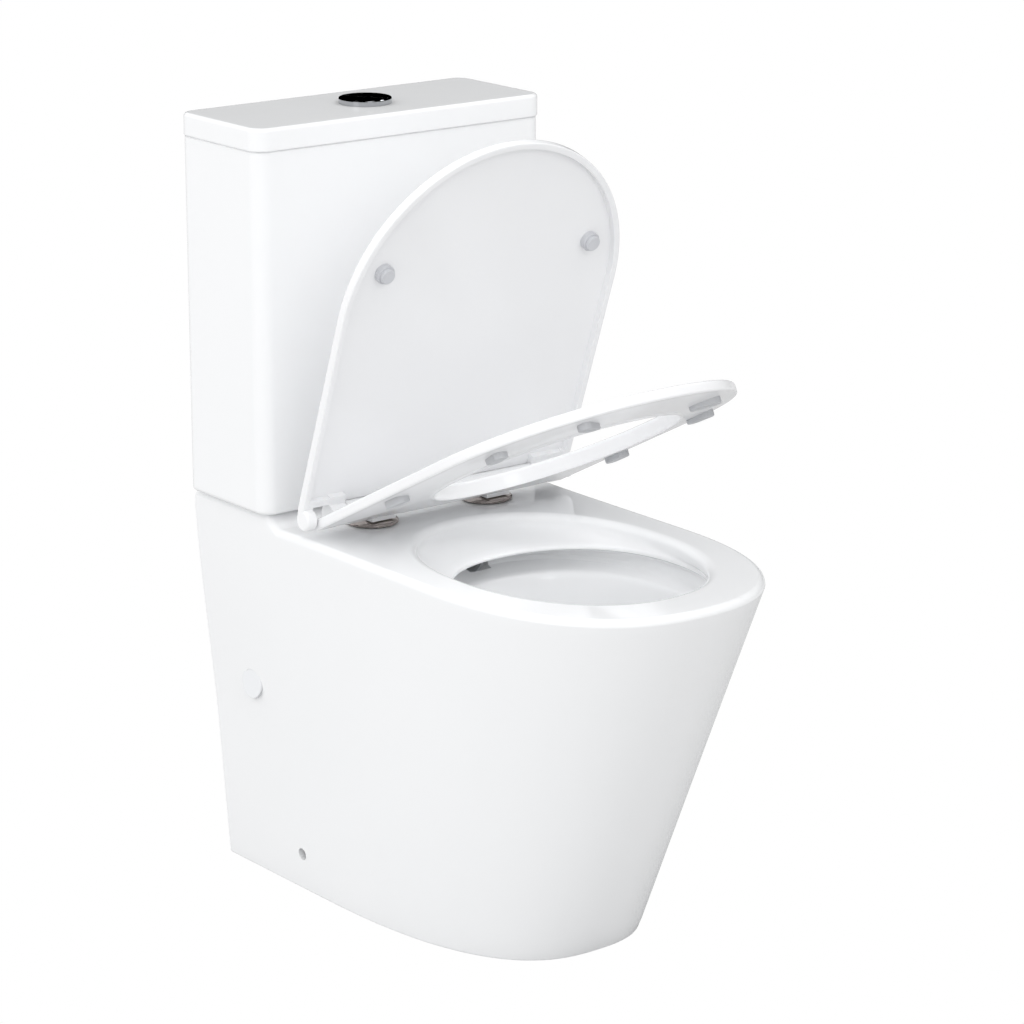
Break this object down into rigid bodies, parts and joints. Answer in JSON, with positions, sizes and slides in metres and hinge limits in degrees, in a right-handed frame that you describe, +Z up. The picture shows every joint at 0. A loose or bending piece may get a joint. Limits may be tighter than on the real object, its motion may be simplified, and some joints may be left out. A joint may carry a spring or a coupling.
{
  "type": "close coupled toilet",
  "caption": "Back-to-wall pan with a matching cistern, dual flush button, and a hinged seat and lid, both part raised.",
  "frame": {"origin": "on the floor, at the middle of the suite's footprint", "axes": "+X across to the right of the bowl seen from behind it, -Y to the front of the bowl, +Y to the wall, +Z up"},
  "size_m": [0.381, 0.652, 0.8602],
  "materials": {
    "china": "glossy fired glaze",
    "seat_plastic": "polished urea",
    "black_rubber": "matte",
    "red_rubber": "matte",
    "stainless": "brushed",
    "hinge_steel": "polished",
    "chrome": "polished",
    "button_chrome": "polished",
    "brass": "turned",
    "valve_plastic": "moulded",
    "float_plastic": "moulded",
    "blue_plastic": "moulded",
    "bumper_white": "soft",
    "bumper_grey": "soft",
    "damper_plastic": "moulded",
    "cap_plastic": "gloss",
    "bracket_plastic": "moulded"
  },
  "bodies": {
    "suite": {"pan": "china", "cistern_tank": "china", "tank_gasket": "black_rubber", "tank_bolts": "stainless", "tank_bolt_washers": "black_rubber", "tank_wing_nuts": "brass", "flush_valve_body": "valve_plastic", "flush_valve_nut": "valve_plastic", "flush_valve_cap": "valve_plastic", "doughnut_seal": "black_rubber", "fill_valve_body": "valve_plastic", "inlet_nut": "valve_plastic", "hinge_gaskets": "black_rubber", "hinge_discs": "hinge_steel", "hinge_posts": "seat_plastic", "hinge_bolts": "stainless", "hinge_washers": "black_rubber", "hinge_wing_nuts": "valve_plastic", "access_caps": "cap_plastic", "floor_brackets": "bracket_plastic", "floor_screws": "stainless", "flush_guide": "valve_plastic", "outlet_seal": "black_rubber"},
    "hinge_pins": {"hinge_pins": "stainless"},
    "seat": {"seat": "seat_plastic", "seat_bumpers": "bumper_white", "seat_damper": "damper_plastic", "lid_damper": "damper_plastic"},
    "lid": {"lid": "seat_plastic", "lid_bumpers": "bumper_grey"},
    "cistern_lid": {"cistern_lid": "china", "button_collar": "chrome", "button_nut": "valve_plastic"},
    "full_button": {"full_flush_button": "button_chrome"},
    "half_button": {"half_flush_button": "button_chrome"},
    "flush_canister": {"flush_canister": "blue_plastic", "canister_seal": "red_rubber", "overflow_tube": "valve_plastic"},
    "float": {"fill_valve_float": "float_plastic"},
    "float_arm": {"fill_valve_arm": "float_plastic"}
  },
  "joints": [
    {"name": "hinge_pins_turn", "type": "hinge", "parent": "suite", "child": "hinge_pins", "pos_m": [0, 0.1195, 0.4435], "axis": [-1, 0, 0], "range_deg": [-27, 25]},
    {"name": "seat_turn", "type": "hinge", "parent": "hinge_pins", "child": "seat", "pos_m": [0, 0.1195, 0.4435], "axis": [1, 0, 0], "range_deg": [-43, 27]},
    {"name": "lid_turn", "type": "hinge", "parent": "hinge_pins", "child": "lid", "pos_m": [0, 0.1195, 0.4435], "axis": [1, 0, 0], "range_deg": [-25, 43]},
    {"name": "cistern_lid_lift", "type": "slide", "parent": "suite", "child": "cistern_lid", "axis": [0, 0, 1], "range_m": [0, 0.12]},
    {"name": "full_flush_press", "type": "slide", "parent": "cistern_lid", "child": "full_button", "axis": [0, 0, -1], "range_m": [0, 0.004], "stiffness_N_per_m": 800, "springref_m": -0.004},
    {"name": "half_flush_press", "type": "slide", "parent": "cistern_lid", "child": "half_button", "axis": [0, 0, -1], "range_m": [0, 0.004], "stiffness_N_per_m": 800, "springref_m": -0.004},
    {"name": "canister_lift", "type": "slide", "parent": "suite", "child": "flush_canister", "axis": [0, 0, 1], "range_m": [0, 0.012]},
    {"name": "float_rise", "type": "slide", "parent": "suite", "child": "float", "axis": [0, 0, 1], "range_m": [0, 0.012]},
    {"name": "float_arm_turn", "type": "hinge", "parent": "suite", "child": "float_arm", "pos_m": [-0.108, 0.264, 0.7815], "axis": [0, -1, 0], "range_deg": [0, 24.6]}
  ],
  "couplings": [
    {"joint": "canister_lift", "follows": "full_flush_press", "ratio": 3},
    {"joint": "float_arm_turn", "follows": "float_rise", "rad_per_m": 35.7}
  ]
}
